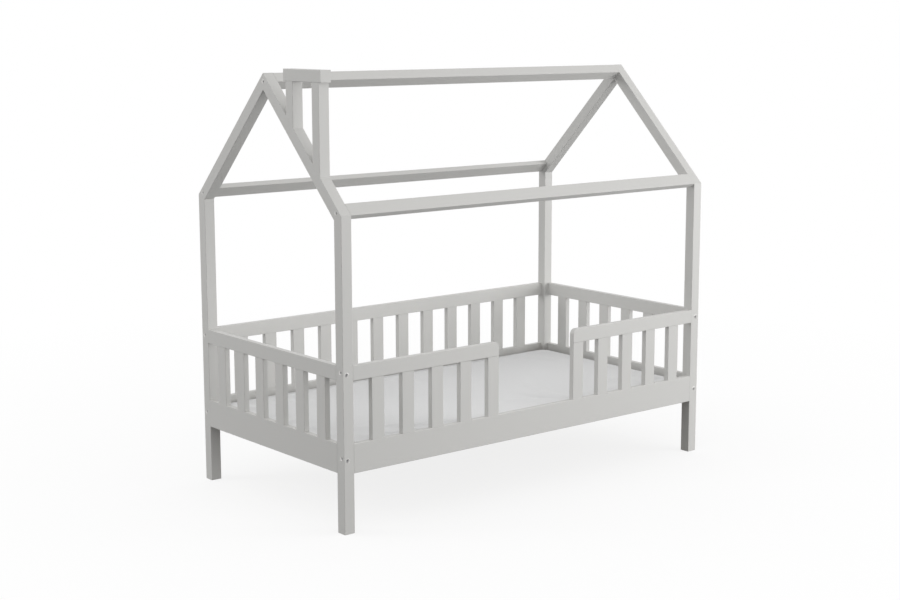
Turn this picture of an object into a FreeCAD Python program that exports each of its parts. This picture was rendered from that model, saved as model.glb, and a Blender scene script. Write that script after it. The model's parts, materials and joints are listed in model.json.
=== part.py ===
import FreeCAD, Part

import os
import re

import Sketcher

# House frame bed for a child. Millimetres, X along the bed, Y from the front (entry) side to the
# back, Z up, the origin on the floor below the middle of the bed.

SIZES = [
    ("mattress_length", 1600, "also the clear length between the posts"),
    ("mattress_width", 800, "also the clear width between the posts"),
    ("post_side", 40, "square posts, rafters and chimney uprights"),
    ("eaves_height", 1050, "floor to the outer corner of post and rafter"),
    ("roof_pitch", 45, "degrees"),
    ("edge_radius", 1.5, "softened long edges"),
    ("arris", 1.2, "bevelled long edges of the slats"),
    ("rail_underside", 202, "floor to the lower edge of the bottom rails"),
    ("bottom_rail_height", 100, ""),
    ("slat_opening", 210, "bottom rail to top rail"),
    ("top_rail_height", 50, ""),
    ("panel_thickness", 20, "rails and slats of the four sides"),
    ("slat_width", 50, ""),
    ("slat_gap", 74.5, ""),
    ("back_slat_count", 12, ""),
    ("end_slat_count", 6, ""),
    ("guard_slat_count", 4, "slats between post and end stile"),
    ("guard_corner_radius", 20, "free upper corner of a front guard"),
    ("tenon_width", 34, ""),
    ("tenon_thickness", 8, ""),
    ("tenon_length", 12, ""),
    ("tenon_clearance", 0.2, "each side and at the end"),
    ("eaves_beam_width", 50, "along the slope"),
    ("eaves_beam_thickness", 20, "square to the slope"),
    ("ridge_beam_side", 40, ""),
    ("chimney_offset", 155.5, "ridge to the middle of the back upright"),
    ("chimney_spacing", 150, "middle to middle of the uprights"),
    ("chimney_rise", 17, "cap above the ridge"),
    ("cap_height", 40, ""),
    ("cap_overhang", 12.5, "beyond the uprights, front and back"),
    ("bolt_diameter", 6, "connector bolt that cuts its thread in end grain"),
    ("bolt_length", 70, "under the head"),
    ("bolt_clearance", 0.3, "radial, in a post or rafter"),
    ("bolt_cover", 2, "wood between bolt and a panel's inner face"),
    ("bolt_stagger", 3.5, "up along the bed, down across it"),
    ("thread_clearance", 0.15, "radial, in a rail or beam"),
    ("head_diameter", 12, ""),
    ("head_height", 3, ""),
    ("head_clearance", 1, "radial, in the recess"),
    ("socket_radius", 2.6, "hexagon, middle to corner"),
    ("socket_depth", 2.2, ""),
    ("recess_depth", 7, ""),
    ("end_gap", 0.5, "beyond a bolt, tongue or screw in its hole"),
    ("bottom_tongue_height", 24, "stub tongues on the end of a bottom rail"),
    ("bottom_tongue_offset", 30, "from the middle of the rail"),
    ("top_tongue_height", 16, "stub tongue on the end of a top rail"),
    ("top_tongue_offset", 13, "from the middle of the rail"),
    ("beam_tongue_height", 12, "stub tongue on the end of a roof beam"),
    ("beam_tongue_offset", 15, "from the middle of an eaves beam"),
    ("ridge_tongue_offset", 12, "above the middle of the ridge beam"),
    ("loose_tongue_width", 20, "loose tongues in the mitres and the chimney"),
    ("loose_tongue_thickness", 8, ""),
    ("mitre_tongue_length", 22, ""),
    ("chimney_tongue_length", 28, ""),
    ("loose_tongue_clearance", 0.1, "each side"),
    ("apex_tongue_offset", 16, "below the middle of the apex mitre"),
    ("ledger_height", 18, ""),
    ("ledger_width", 20, ""),
    ("ledger_tongue_height", 8, "glued into the rail's groove"),
    ("ledger_tongue_depth", 6, ""),
    ("base_slat_count", 13, ""),
    ("base_slat_width", 70, ""),
    ("base_slat_thickness", 14, ""),
    ("base_slat_margin", 5, "from the posts to the first slat"),
    ("base_slat_clearance", 1, "from a slat's end to the rail"),
    ("webbing_width", 30, "bands that hold the base slats apart"),
    ("webbing_thickness", 1, ""),
    ("webbing_inset", 40, "from the ledger to a band"),
    ("screw_diameter", 4, ""),
    ("screw_length", 26, ""),
    ("screw_head_diameter", 8, ""),
    ("screw_head_height", 2.5, ""),
    ("mattress_thickness", 50, ""),
    ("mattress_corner_radius", 40, ""),
    ("mattress_seam_height", 6, "piping from the top and bottom faces"),
    ("mattress_waist", 3, "sides drawn in between the seams"),
    ("mattress_crown", 1.5, "swell of the top over its edge"),
    ("mattress_crown_run", 70, "edge to the level middle"),
    ("mattress_lift", 0.3, "clearance over the base slats"),
]

SPAN_X = "mattress_length"
SPAN_Y = "mattress_width"
HALF_X = "(mattress_length / 2 + post_side)"
HALF_Y = "(mattress_width / 2 + post_side)"
RIDGE_Z = "(eaves_height + (mattress_width / 2 + post_side) * tan(roof_pitch))"
MITRE_DROP = "(post_side * (1 / cos(roof_pitch) - tan(roof_pitch)))"
APEX_DEPTH = "(post_side / cos(roof_pitch))"
BOTTOM_RAIL_MIDDLE = "(rail_underside + bottom_rail_height / 2)"
OPENING_Z = "(rail_underside + bottom_rail_height)"
TOP_RAIL_Z = "(rail_underside + bottom_rail_height + slat_opening)"
TOP_RAIL_MIDDLE = "(rail_underside + bottom_rail_height + slat_opening + top_rail_height / 2)"
SLAT_PITCH = "(slat_width + slat_gap)"
GUARD_LENGTH = "((guard_slat_count + 1) * (slat_width + slat_gap))"
BOLT_INSET = "(panel_thickness - bolt_cover - bolt_diameter / 2)"
BEAM_BOLT_INSET = "(eaves_beam_thickness - bolt_cover - bolt_diameter / 2)"
BOLT_GRIP = "(bolt_length - post_side + recess_depth)"
TONGUE_SIDE = "(loose_tongue_thickness / 2 + loose_tongue_clearance)"
TONGUE_EDGE = "(loose_tongue_width / 2 + loose_tongue_clearance)"
MITRE_TILT = "(roof_pitch / 2)"
THREAD_BORE = "(bolt_diameter + 2 * thread_clearance)"
MORTISE_DEPTH = "(tenon_length + tenon_clearance)"
MITRE_SLOT_DEPTH = "(mitre_tongue_length / 2 + end_gap)"
CHIMNEY_SLOT_DEPTH = "(chimney_tongue_length / 2 + end_gap)"
LEDGER_TOP = "(rail_underside + ledger_height)"
BASE_TOP = "(rail_underside + ledger_height + base_slat_thickness)"
CHIMNEY_TOP = f"({RIDGE_Z} + chimney_rise)"
UPRIGHT_TOP = f"({CHIMNEY_TOP} - cap_height)"
CAP_LENGTH = "(chimney_spacing + post_side + 2 * cap_overhang)"
RIDGE_MIDDLE = f"({RIDGE_Z} - ridge_beam_side * sin(roof_pitch))"
APEX_MIDDLE = f"({RIDGE_Z} - {APEX_DEPTH} / 2)"

# The chimney's uprights, and how far the slope rises over half a tongue's thickness.
CHIMNEY_MIDDLES = {
    "back": "(-chimney_offset)",
    "front": "(-chimney_offset - chimney_spacing)",
}
SLOPE_RISE = f"({TONGUE_SIDE} * tan(roof_pitch))"

# Small round forms are drawn with few sides, because there are so many of them.
HEAD_SIDES = 16
SHANK_SIDES = 12


def onFrontSlope(along, depth):
    """Y and Z of a point measured from the front eaves corner."""
    y = f"(-{HALF_Y} + {along} * cos(roof_pitch) + {depth} * sin(roof_pitch))"
    z = f"(eaves_height + {along} * sin(roof_pitch) - {depth} * cos(roof_pitch))"
    return y, z


def tiltedBox(middle, width, gap):
    """Corners of an eaves beam's tongue, at mid thickness, widened by a gap."""
    low = f"({middle} - {width} / 2 - {gap})"
    high = f"({middle} + {width} / 2 + {gap})"
    upper = f"((eaves_beam_thickness - tenon_thickness) / 2 - {gap})"
    lower = f"((eaves_beam_thickness + tenon_thickness) / 2 + {gap})"
    return [onFrontSlope(*place) for place in ((low, upper), (high, upper), (high, lower), (low, lower))]


EAVES_BOLT = onFrontSlope("eaves_beam_width / 2", BEAM_BOLT_INSET)
EAVES_TONGUE_ALONG = "(eaves_beam_width / 2 + beam_tongue_offset)"
RIDGE_TONGUE_Z = f"({RIDGE_MIDDLE} + ridge_tongue_offset)"
APEX_TONGUE_Z = f"({APEX_MIDDLE} - apex_tongue_offset)"

doc = FreeCAD.newDocument("HouseBed")
sheet = doc.addObject("Spreadsheet::Sheet", "Sizes")
for row, (alias, value, note) in enumerate(SIZES, start=1):
    sheet.set(f"A{row}", alias)
    sheet.set(f"B{row}", str(value))
    sheet.set(f"C{row}", note)
    sheet.setAlias(f"B{row}", alias)
doc.recompute()

ALIAS = re.compile(r"\b(" + "|".join(alias for alias, _, _ in SIZES) + r")\b")
NODES = []


def bind(target, prop, expression):
    target.setExpression(prop, ALIAS.sub(r"Sizes.\1", str(expression)))


def measure(expression):
    return float(sheet.evalExpression(ALIAS.sub(r"Sizes.\1", str(expression))))


def put(target, x=0, y=0, z=0, turn=0, axis=(0, 0, 1), prop="Placement"):
    """Places an object, turned by an angle in degrees about an axis."""
    for letter, place, part in zip("xyz", (x, y, z), axis):
        bind(target, f"{prop}.Base.{letter}", place)
        bind(target, f"{prop}.Rotation.Axis.{letter}", part)
    bind(target, f"{prop}.Rotation.Angle", turn)


class Piece:
    """One wooden piece: a body, built from sketches on its own planes."""

    def __init__(self, label, exported=True):
        self.body = doc.addObject("PartDesign::Body", label)
        self.body.Label = label
        self.label = label
        if exported:
            NODES.append(self.body)

    def sketch(self, plane, offset=0):
        sketch = self.body.newObject("Sketcher::SketchObject", f"{self.label}_sketch")
        face = [f for f in self.body.Origin.OriginFeatures if f.Role == f"{plane}_Plane"][0]
        sketch.AttachmentSupport = (face, [""])
        sketch.MapMode = "FlatFace"
        bind(sketch, "AttachmentOffset.Base.z", offset)
        return sketch

    def fix(self, sketch, geometry, point, place):
        """Holds a point of the sketch at a pair of expressions."""
        for kind, expression in zip(("DistanceX", "DistanceY"), place):
            value = measure(expression)
            index = sketch.addConstraint(Sketcher.Constraint(kind, -1, 1, geometry, point, value))
            bind(sketch, f"Constraints[{index}]", expression)

    def polygons(self, plane, outlines, offset=0):
        sketch = self.sketch(plane, offset)
        first = 0
        for corners in outlines:
            points = [FreeCAD.Vector(measure(x), measure(y), 0) for x, y in corners]
            count = len(points)
            for index in range(count):
                sketch.addGeometry(Part.LineSegment(points[index], points[(index + 1) % count]))
            for index in range(count):
                line = first + index
                following = first + (index + 1) % count
                sketch.addConstraint(Sketcher.Constraint("Coincident", line, 2, following, 1))
                self.fix(sketch, line, 1, corners[index])
            first += count
        return sketch

    def polygon(self, plane, corners, offset=0):
        return self.polygons(plane, [corners], offset)

    def rectangles(self, plane, ranges, offset=0):
        """ranges lists (lowest corner, highest corner)."""
        outlines = [[low, (high[0], low[1]), high, (low[0], high[1])] for low, high in ranges]
        return self.polygons(plane, outlines, offset)

    def rectangle(self, plane, low, high, offset=0):
        return self.rectangles(plane, [(low, high)], offset)

    def grow(self, kind, sketch, length, reverse):
        feature = self.body.newObject(f"PartDesign::{kind}", f"{self.label}_{kind.lower()}")
        feature.Profile = sketch
        feature.Reversed = reverse
        bind(feature, "Length", length)
        return feature

    def pad(self, sketch, length, reverse=False):
        feature = self.grow("Pad", sketch, length, reverse)
        doc.recompute()
        return feature

    def cut(self, sketch, depth, reverse=False):
        before = self.body.Shape.Volume
        feature = self.grow("Pocket", sketch, depth, reverse)
        doc.recompute()
        if self.body.Shape.Volume >= before:
            raise ValueError(f"{self.label}: a cut removed nothing")
        return feature

    def prism(self, kind, sides, diameter, depth, place, turned):
        """Adds or cuts a near-round pin or hole, from a place along a turned Z axis."""
        before = self.body.Shape.Volume if self.body.Tip else 0
        feature = self.body.newObject(f"PartDesign::{kind}Prism", f"{self.label}_round")
        feature.Polygon = sides
        bind(feature, "Circumradius", f"({diameter}) / 2")
        bind(feature, "Height", depth)
        put(feature, *place, *turned)
        doc.recompute()
        grown = self.body.Shape.Volume > before
        if grown != (kind == "Additive"):
            raise ValueError(f"{self.label}: a round feature missed the solid")
        return feature

    def bore(self, sides, diameter, depth, place, turned):
        return self.prism("Subtractive", sides, diameter, depth, place, turned)

    def soften(self, chosen, radius="edge_radius"):
        """Rounds the edges of the last feature for which chosen(edge) is true."""
        return self.dress("Fillet", "Radius", chosen, radius)

    def bevel(self, chosen, size="arris"):
        return self.dress("Chamfer", "Size", chosen, size)

    def dress(self, kind, prop, chosen, size):
        base = self.body.Tip
        names = [f"Edge{n}" for n, edge in enumerate(base.Shape.Edges, start=1) if chosen(edge)]
        feature = self.body.newObject(f"PartDesign::{kind}", f"{self.label}_{kind.lower()}")
        feature.Base = (base, names)
        bind(feature, prop, size)
        doc.recompute()
        return feature

    def repeat(self, features, sketch, pitch, count, whole=False):
        pattern = self.body.newObject("PartDesign::LinearPattern", f"{self.label}_pattern")
        pattern.TransformMode = "Whole shape" if whole else "Features"
        if not whole:
            pattern.Originals = features
        pattern.Direction = (sketch, ["H_Axis"])
        pattern.Mode = "Spacing"
        bind(pattern, "Offset", pitch)
        bind(pattern, "Occurrences", count)
        self.body.Tip = pattern
        doc.recompute()
        return pattern

    def put(self, *place, **turned):
        put(self.body, *place, **turned)
        return self


def along(direction):
    """Chooses straight edges that run along a direction."""
    wanted = FreeCAD.Vector(*direction)

    def chosen(edge):
        if edge.Curve.TypeId != "Part::GeomLine":
            return False
        return abs(edge.Curve.Direction.dot(wanted)) > 0.999

    return chosen


def longEdges(length):
    """Chooses the edges that run the whole length of a stick."""
    return lambda edge: edge.Length > 0.9 * measure(length)


# ---- corner posts and rafters -----------------------------------------------------------------

# Turns that lay a local Z axis along an outward direction of the bed.
OUT_LEFT = (-90, (0, 1, 0))
OUT_RIGHT = (90, (0, 1, 0))
OUT_FRONT = (90, (1, 0, 0))
OUT_BACK = (-90, (1, 0, 0))
UP = (0, (0, 0, 1))
DOWN = (180, (1, 0, 0))

# A left-hand piece has its outer face at local x = 0 and a right-hand piece at x = post_side.
# The back pieces are the opposite front ones turned half round.
CORNERS = {
    "front_left": (True, f"-{HALF_X}", 0),
    "front_right": (False, f"{HALF_X} - post_side", 0),
    "back_right": (True, HALF_X, 180),
    "back_left": (False, f"post_side - {HALF_X}", 180),
}

# Stub tongues on the ends of a rail, as (offset, height), and where they lie in its thickness.
BOTTOM_TONGUES = [
    ("-bottom_tongue_offset", "bottom_tongue_height"),
    ("bottom_tongue_offset", "bottom_tongue_height"),
]
TONGUE_LOW = "((panel_thickness - tenon_thickness) / 2)"
TONGUE_HIGH = "((panel_thickness + tenon_thickness) / 2)"


def boltHole(piece, place, turned):
    """Hole for a connector bolt right through, with a round recess for its head."""
    piece.bore(SHANK_SIDES, "bolt_diameter + 2 * bolt_clearance", "post_side", place, turned)
    piece.bore(HEAD_SIDES, "head_diameter + 2 * head_clearance", "recess_depth", place, turned)


def boltAcross(piece, y, z, leftHand):
    """A bolt hole along the bed, from the piece's outer face."""
    boltHole(piece, (0 if leftHand else "post_side", y, z), OUT_RIGHT if leftHand else OUT_LEFT)


def mortiseAcross(piece, ranges, leftHand):
    """Mortises along the bed, from the piece's inner face."""
    sketch = piece.rectangles("YZ", ranges, "post_side" if leftHand else 0)
    piece.cut(sketch, MORTISE_DEPTH, reverse=not leftHand)


def widened(low, high, middle, height):
    """A mortise round a tongue that spans low to high and stands at a middle height."""
    bottom = f"{middle} - {height} / 2 - tenon_clearance"
    top = f"{middle} + {height} / 2 + tenon_clearance"
    return (f"{low} - tenon_clearance", bottom), (f"{high} + tenon_clearance", top)


def looseTongueSlot(piece, x, y, z, tilt, depth, reverse):
    """A slot for a loose tongue whose flat lies along the bed, square to a tilted joint."""
    low = (f"{x} - {TONGUE_EDGE}", f"-{TONGUE_SIDE}")
    high = (f"{x} + {TONGUE_EDGE}", TONGUE_SIDE)
    sketch = piece.rectangle("XY", low, high)
    put(sketch, 0, y, z, tilt, (1, 0, 0), "AttachmentOffset")
    doc.recompute()
    piece.cut(sketch, depth, reverse)


def makePost(corner, leftHand, x, turn):
    post = Piece(f"post_{corner}")
    outer = f"-{HALF_Y}"
    inner = f"(post_side - {HALF_Y})"
    corners = [(outer, 0), (inner, 0), (inner, f"eaves_height - {MITRE_DROP}"), (outer, "eaves_height")]
    post.pad(post.polygon("YZ", corners), "post_side")
    post.soften(along((0, 0, 1)))

    # The ends of the rails that run along the bed.
    topTongue = (f"{TOP_RAIL_MIDDLE} - top_tongue_offset", "top_tongue_height")
    tongues = [(f"{BOTTOM_RAIL_MIDDLE} + {rise}", height) for rise, height in BOTTOM_TONGUES]
    low, high = f"({TONGUE_LOW} - {HALF_Y})", f"({TONGUE_HIGH} - {HALF_Y})"
    mortiseAcross(post, [widened(low, high, *tongue) for tongue in [*tongues, topTongue]], leftHand)

    # The ends of the rails that run across it.
    topTongue = (f"{TOP_RAIL_MIDDLE} + top_tongue_offset", "top_tongue_height")
    low, high = TONGUE_LOW, TONGUE_HIGH
    if not leftHand:
        low, high = f"(post_side - {TONGUE_HIGH})", f"(post_side - {TONGUE_LOW})"
    ranges = [widened(low, high, *tongue) for tongue in [*tongues, topTongue]]
    post.cut(post.rectangles("XZ", ranges, f"{HALF_Y} - post_side"), MORTISE_DEPTH, reverse=True)

    middle = f"(post_side / 2 - {HALF_Y})"
    looseTongueSlot(post, "post_side / 2", middle, f"eaves_height - {MITRE_DROP} / 2",
                    f"-{MITRE_TILT}", MITRE_SLOT_DEPTH, reverse=False)
    boltX = BOLT_INSET if leftHand else f"(post_side - {BOLT_INSET})"
    for middle in (BOTTOM_RAIL_MIDDLE, TOP_RAIL_MIDDLE):
        boltAcross(post, f"{BOLT_INSET} - {HALF_Y}", f"{middle} + bolt_stagger", leftHand)
        boltHole(post, (boltX, f"-{HALF_Y}", f"{middle} - bolt_stagger"), OUT_BACK)
    post.put(x=x, turn=turn)


def makeRafter(corner, leftHand, x, turn):
    rafter = Piece(f"rafter_{corner}")
    corners = [
        (f"-{HALF_Y}", "eaves_height"),
        (0, RIDGE_Z),
        (0, f"{RIDGE_Z} - {APEX_DEPTH}"),
        (f"post_side - {HALF_Y}", f"eaves_height - {MITRE_DROP}"),
    ]
    rafter.pad(rafter.polygon("YZ", corners), "post_side")
    rafter.soften(longEdges(f"({HALF_Y} - post_side) / cos(roof_pitch)"))

    # The eaves beam's tongue, and this rafter's half of the ridge beam's one.
    gap = "tenon_clearance"
    eaves = tiltedBox(EAVES_TONGUE_ALONG, "beam_tongue_height", gap)
    half = f"(tenon_thickness / 2 + {gap})"
    reach = f"(beam_tongue_height / 2 + {gap})"
    ridge = [
        (f"-{half}", f"{RIDGE_TONGUE_Z} - {reach}"),
        (0, f"{RIDGE_TONGUE_Z} - {reach}"),
        (0, f"{RIDGE_TONGUE_Z} + {reach}"),
        (f"-{half}", f"{RIDGE_TONGUE_Z} + {reach}"),
    ]
    sketch = rafter.polygons("YZ", [eaves, ridge], "post_side" if leftHand else 0)
    rafter.cut(sketch, MORTISE_DEPTH, reverse=not leftHand)

    middle = f"(post_side / 2 - {HALF_Y})"
    looseTongueSlot(rafter, "post_side / 2", middle, f"eaves_height - {MITRE_DROP} / 2",
                    f"-{MITRE_TILT}", MITRE_SLOT_DEPTH, reverse=True)
    looseTongueSlot(rafter, "post_side / 2", 0, APEX_TONGUE_Z, 90, MITRE_SLOT_DEPTH, reverse=True)
    if corner == "front_left":
        for middle in CHIMNEY_MIDDLES.values():
            top = f"{RIDGE_Z} + {middle} * tan(roof_pitch) + {SLOPE_RISE}"
            looseTongueSlot(rafter, "post_side / 2", middle, top, 0,
                            f"{CHIMNEY_SLOT_DEPTH} + {SLOPE_RISE}", reverse=False)
    boltAcross(rafter, *EAVES_BOLT, leftHand)
    boltAcross(rafter, 0, RIDGE_MIDDLE, leftHand)
    rafter.put(x=x, turn=turn)


for corner, (leftHand, x, turn) in CORNERS.items():
    makePost(corner, leftHand, x, turn)
for corner, (leftHand, x, turn) in CORNERS.items():
    makeRafter(corner, leftHand, x, turn)
print("posts and rafters made")


# ---- ridge and eaves beams --------------------------------------------------------------------

def fitBeam(beam, tongue, boltPlace):
    """Tongues and bolt bores on both ends of a beam that spans the gables."""
    beam.pad(beam.polygon("YZ", tongue, "-tenon_length"), f"{SPAN_X} + 2 * tenon_length")
    for end, turned in ((0, OUT_RIGHT), (SPAN_X, OUT_LEFT)):
        beam.bore(SHANK_SIDES, THREAD_BORE, f"{BOLT_GRIP} + end_gap", (end, *boltPlace), turned)


def makeRidgeBeam():
    """Its two upper faces lie in the roof slopes."""
    beam = Piece("ridge_beam")
    reach = "ridge_beam_side * cos(roof_pitch)"
    corners = [
        (0, RIDGE_Z),
        (f"-({reach})", RIDGE_MIDDLE),
        (0, f"2 * {RIDGE_MIDDLE} - {RIDGE_Z}"),
        (reach, RIDGE_MIDDLE),
    ]
    beam.pad(beam.polygon("YZ", corners), SPAN_X)
    beam.soften(along((1, 0, 0)))
    half = "(tenon_thickness / 2)"
    low = f"{RIDGE_TONGUE_Z} - beam_tongue_height / 2"
    high = f"{RIDGE_TONGUE_Z} + beam_tongue_height / 2"
    tongue = [(f"-{half}", low), (half, low), (half, high), (f"-{half}", high)]
    fitBeam(beam, tongue, (0, RIDGE_MIDDLE))
    beam.put(x=f"-{SPAN_X} / 2")


def makeEavesBeam(label, x, turn):
    """A board that lies in the roof slope, its lower outer edge on the eaves corner."""
    beam = Piece(label)
    corners = [
        onFrontSlope("0", "0"),
        onFrontSlope("eaves_beam_width", "0"),
        onFrontSlope("eaves_beam_width", "eaves_beam_thickness"),
        onFrontSlope("0", "eaves_beam_thickness"),
    ]
    beam.pad(beam.polygon("YZ", corners), SPAN_X)
    beam.soften(along((1, 0, 0)))
    fitBeam(beam, tiltedBox(EAVES_TONGUE_ALONG, "beam_tongue_height", "0"), EAVES_BOLT)
    beam.put(x=x, turn=turn)


makeRidgeBeam()
makeEavesBeam("eaves_beam_front", f"-{SPAN_X} / 2", 0)
makeEavesBeam("eaves_beam_back", f"{SPAN_X} / 2", 180)


# ---- chimney on the left gable ----------------------------------------------------------------

def makeChimneyUpright(label, middle):
    """Stands on the rafter, its foot cut to the slope."""
    upright = Piece(label)
    low = f"({middle} - post_side / 2)"
    high = f"({middle} + post_side / 2)"
    corners = [
        (low, f"{RIDGE_Z} + {low} * tan(roof_pitch)"),
        (high, f"{RIDGE_Z} + {high} * tan(roof_pitch)"),
        (high, UPRIGHT_TOP),
        (low, UPRIGHT_TOP),
    ]
    upright.pad(upright.polygon("YZ", corners), "post_side")
    upright.soften(along((0, 0, 1)))
    foot = f"{RIDGE_Z} + {middle} * tan(roof_pitch) - {SLOPE_RISE}"
    looseTongueSlot(upright, "post_side / 2", middle, foot, 0,
                    f"{CHIMNEY_SLOT_DEPTH} + {SLOPE_RISE}", reverse=True)
    looseTongueSlot(upright, "post_side / 2", middle, UPRIGHT_TOP, 0, CHIMNEY_SLOT_DEPTH, reverse=False)
    upright.put(x=f"-{HALF_X}")


def makeChimneyCap():
    cap = Piece("chimney_cap")
    low = f"({CHIMNEY_MIDDLES['front']} - post_side / 2 - cap_overhang)"
    cap.pad(cap.rectangle("XY", (0, low), ("post_side", f"{low} + {CAP_LENGTH}")), "cap_height")
    cap.soften(along((0, 1, 0)))
    for middle in CHIMNEY_MIDDLES.values():
        looseTongueSlot(cap, "post_side / 2", middle, 0, 0, CHIMNEY_SLOT_DEPTH, reverse=True)
    cap.put(x=f"-{HALF_X}", z=UPRIGHT_TOP)


for name, middle in CHIMNEY_MIDDLES.items():
    makeChimneyUpright(f"chimney_upright_{name}", middle)
makeChimneyCap()
print("roof made")


# ---- slatted sides ----------------------------------------------------------------------------

# A side's own frame: x along it from one post to the next, y from its outer face inwards, z up.
# The placements stand it between the posts with its outer face flush with theirs.
SIDES = {
    "front": (f"-{SPAN_X} / 2", f"-{HALF_Y}", 0),
    "back": (f"{SPAN_X} / 2", HALF_Y, 180),
    "left": (f"-{HALF_X}", f"{SPAN_Y} / 2", -90),
    "right": (HALF_X, f"-{SPAN_Y} / 2", 90),
}


def firstSlat(length, count):
    return f"(({length} - {count} * slat_width - ({count} - 1) * slat_gap) / 2)"


def makeRail(label, side, length, height, z, boltRise, tongues, slats, start=0, freeEnd=None):
    """A rail with mortises for its slats, and tongues and bolt bores at the ends that meet posts.

    slats lists (first slat's start, how many); boltRise and the tongues are from its middle;
    freeEnd is where a guard's rail ends at the entry gap, its upper corner rounded.
    """
    rail = Piece(label)
    rail.pad(rail.rectangle("YZ", (0, 0), ("panel_thickness", height)), length)
    if freeEnd is not None:
        rail.soften(upperEndEdge(freeEnd), "guard_corner_radius")
    rail.soften(along((1, 0, 0)))
    middle = f"{height} / 2"
    ranges = []
    for rise, tall in tongues:
        low = (TONGUE_LOW, f"{middle} + {rise} - {tall} / 2")
        high = (TONGUE_HIGH, f"{middle} + {rise} + {tall} / 2")
        ranges.append((low, high))
    low = "-tenon_length" if freeEnd != 0 else "edge_radius"
    high = f"{length} + tenon_length" if freeEnd in (None, 0) else f"{length} - edge_radius"
    rail.pad(rail.rectangles("YZ", ranges, low), f"{high} - ({low})")
    isTop = height == "top_rail_height"
    for first, count in slats:
        low = (f"{first} + (slat_width - tenon_width) / 2 - tenon_clearance",
               f"{TONGUE_LOW} - tenon_clearance")
        high = (f"{first} + (slat_width + tenon_width) / 2 + tenon_clearance",
                f"{TONGUE_HIGH} + tenon_clearance")
        mortise = rail.rectangle("XY", low, high, 0 if isTop else height)
        cut = rail.cut(mortise, MORTISE_DEPTH, reverse=isTop)
        rail.repeat([cut], mortise, SLAT_PITCH, count)
    for end, turned in ((0, OUT_RIGHT), (length, OUT_LEFT)):
        if end != freeEnd:
            place = (end, BOLT_INSET, f"{middle} + {boltRise}")
            rail.bore(SHANK_SIDES, THREAD_BORE, f"{BOLT_GRIP} + end_gap", place, turned)
    x, y, turn = SIDES[side]
    rail.put(x=f"{x} + {start}", y=y, z=z, turn=turn)
    return rail


def makeSlats(label, side, first, count):
    """Slats with a tenon at each end, evenly spaced."""
    slats = Piece(label)
    profile = slats.rectangle("XY", (0, 0), ("slat_width", "panel_thickness"))
    slats.pad(profile, "slat_opening")
    slats.bevel(along((0, 0, 1)))
    low = ("(slat_width - tenon_width) / 2", TONGUE_LOW)
    high = ("(slat_width + tenon_width) / 2", TONGUE_HIGH)
    tenon = slats.rectangle("XY", low, high, "-tenon_length")
    slats.pad(tenon, "slat_opening + 2 * tenon_length")
    if count != 1:
        slats.repeat([], profile, SLAT_PITCH, count, whole=True)
    x, y, turn = SIDES[side]
    shift = {0: (first, 0), 180: (f"-{first}", 0), -90: (0, f"-{first}"), 90: (0, first)}[turn]
    slats.put(x=f"{x} + {shift[0]}", y=f"{y} + {shift[1]}", z=OPENING_Z, turn=turn)


def upperEndEdge(x):
    """Chooses the upper edge of a guard's top rail at the end that lies at local x."""
    def chosen(edge):
        box = edge.BoundBox
        atEnd = abs(box.XMin - measure(x)) < 0.01 and abs(box.XMax - measure(x)) < 0.01
        atTop = abs(box.ZMin - measure("top_rail_height")) < 0.01
        return atEnd and atTop and abs(box.ZMax - box.ZMin) < 0.01

    return chosen


def makeFullSide(side, length, count, sign):
    """A side with one run of slats. sign is +1 along the bed and -1 across it."""
    slats = [(firstSlat(length, count), count)]
    bolt = f"({sign} * bolt_stagger)"
    topTongue = [(f"({-sign} * top_tongue_offset)", "top_tongue_height")]
    bottom = makeRail(f"{side}_bottom_rail", side, length, "bottom_rail_height", "rail_underside",
                      bolt, BOTTOM_TONGUES, slats)
    makeSlats(f"{side}_slats", side, slats[0][0], count)
    makeRail(f"{side}_top_rail", side, length, "top_rail_height", TOP_RAIL_Z, bolt, topTongue, slats)
    return bottom


def makeFront():
    """One long bottom rail and two guards with the entry gap between them."""
    rightStart = f"({SPAN_X} - {GUARD_LENGTH})"
    runs = [("slat_gap", "guard_slat_count + 1"), (rightStart, "guard_slat_count + 1")]
    bottom = makeRail("front_bottom_rail", "front", SPAN_X, "bottom_rail_height", "rail_underside",
                      "bolt_stagger", BOTTOM_TONGUES, runs)
    stileStart = f"(slat_gap + guard_slat_count * {SLAT_PITCH})"
    topTongue = [("-top_tongue_offset", "top_tongue_height")]
    top = ("front", GUARD_LENGTH, "top_rail_height", TOP_RAIL_Z, "bolt_stagger", topTongue)
    makeRail("left_guard_rail", *top, [runs[0]], freeEnd=GUARD_LENGTH)
    makeRail("right_guard_rail", *top, [("0", "guard_slat_count + 1")], start=rightStart, freeEnd=0)
    makeSlats("left_guard_slats", "front", "slat_gap", "guard_slat_count")
    makeSlats("left_guard_stile", "front", stileStart, 1)
    makeSlats("right_guard_stile", "front", rightStart, 1)
    makeSlats("right_guard_slats", "front", f"({rightStart} + {SLAT_PITCH})", "guard_slat_count")
    return bottom


makeFullSide("left", SPAN_Y, "end_slat_count", -1)
makeFullSide("right", SPAN_Y, "end_slat_count", -1)
LONG_RAILS = {
    "back": makeFullSide("back", SPAN_X, "back_slat_count", 1),
    "front": makeFront(),
}
print("sides made")


# ---- base: ledgers, slats, webbing and mattress -----------------------------------------------

BASE_FIRST = "(base_slat_margin + base_slat_width / 2)"
BASE_PITCH = f"(({SPAN_X} - 2 * {BASE_FIRST}) / (base_slat_count - 1))"
SCREW_Y = f"({HALF_Y} - panel_thickness - ledger_width / 2)"
TONGUE_BASE = "((ledger_height - ledger_tongue_height) / 2)"
TONGUE_TOP = "((ledger_height + ledger_tongue_height) / 2)"


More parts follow.
